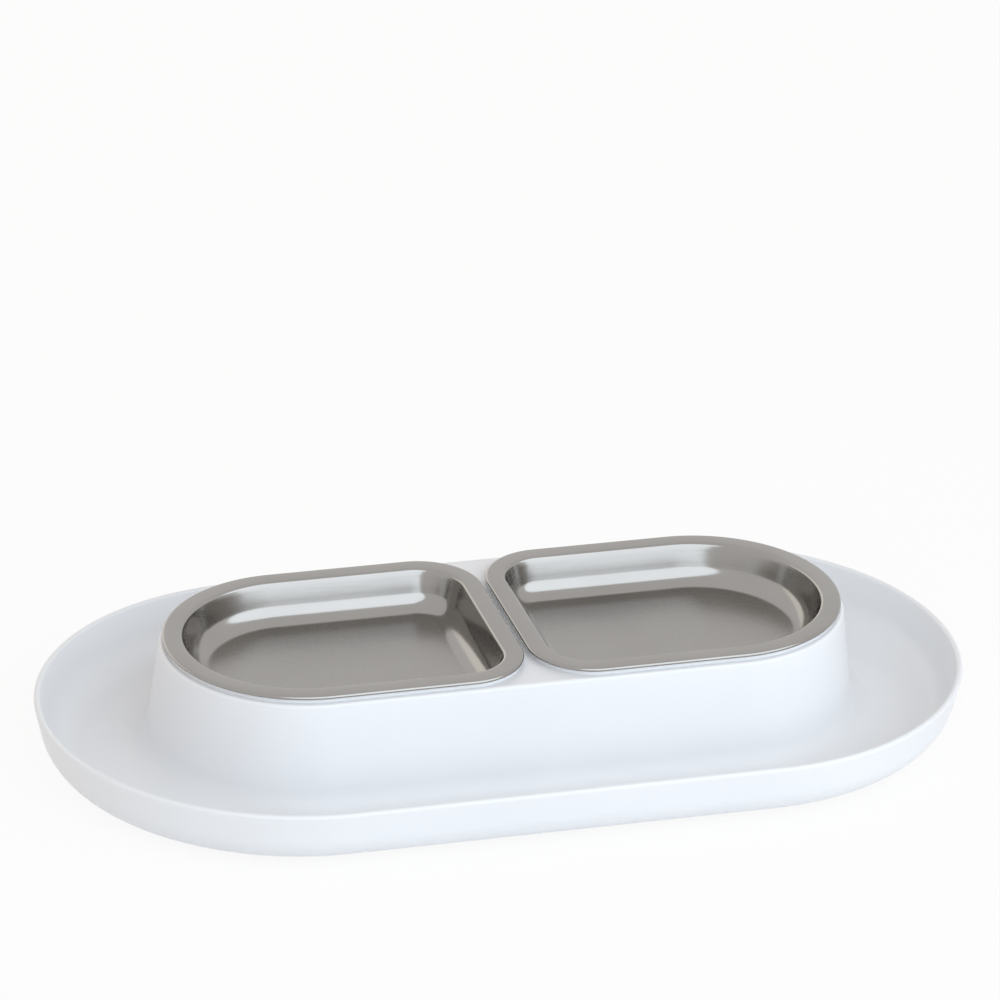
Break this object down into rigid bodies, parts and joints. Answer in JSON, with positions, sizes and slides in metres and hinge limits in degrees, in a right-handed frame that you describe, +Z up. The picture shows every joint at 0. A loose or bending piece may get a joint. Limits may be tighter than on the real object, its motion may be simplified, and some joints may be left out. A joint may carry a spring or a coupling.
{
  "type": "double pet bowl",
  "caption": "Raised double pet bowl: steel bowls with flat rims hang in a white oval stand whose wide rimmed tray catches spills.",
  "frame": {"origin": "on the table, under the middle of the tray", "axes": "+X along the tray towards the right bowl, +Y away from the viewer, +Z up"},
  "size_m": [0.44, 0.2402, 0.062],
  "materials": {
    "white_plastic": "moulded plastic with a soft satin surface",
    "steel": "drawn stainless sheet, polished side and satin bottom",
    "rubber": "matt anti-slip rubber"
  },
  "bodies": {
    "stand": {"stand": "white_plastic", "foot_front_left": "rubber", "foot_front_middle": "rubber", "foot_front_right": "rubber", "foot_rear_left": "rubber", "foot_rear_middle": "rubber", "foot_rear_right": "rubber"},
    "bowl_left": {"bowl_left": "steel"},
    "bowl_right": {"bowl_right": "steel"}
  },
  "joints": [
    {"name": "bowl_left_lift", "type": "slide", "parent": "stand", "child": "bowl_left", "axis": [0, 0, 1], "range_m": [0, 0.04]},
    {"name": "bowl_right_lift", "type": "slide", "parent": "stand", "child": "bowl_right", "axis": [0, 0, 1], "range_m": [0, 0.04]}
  ]
}
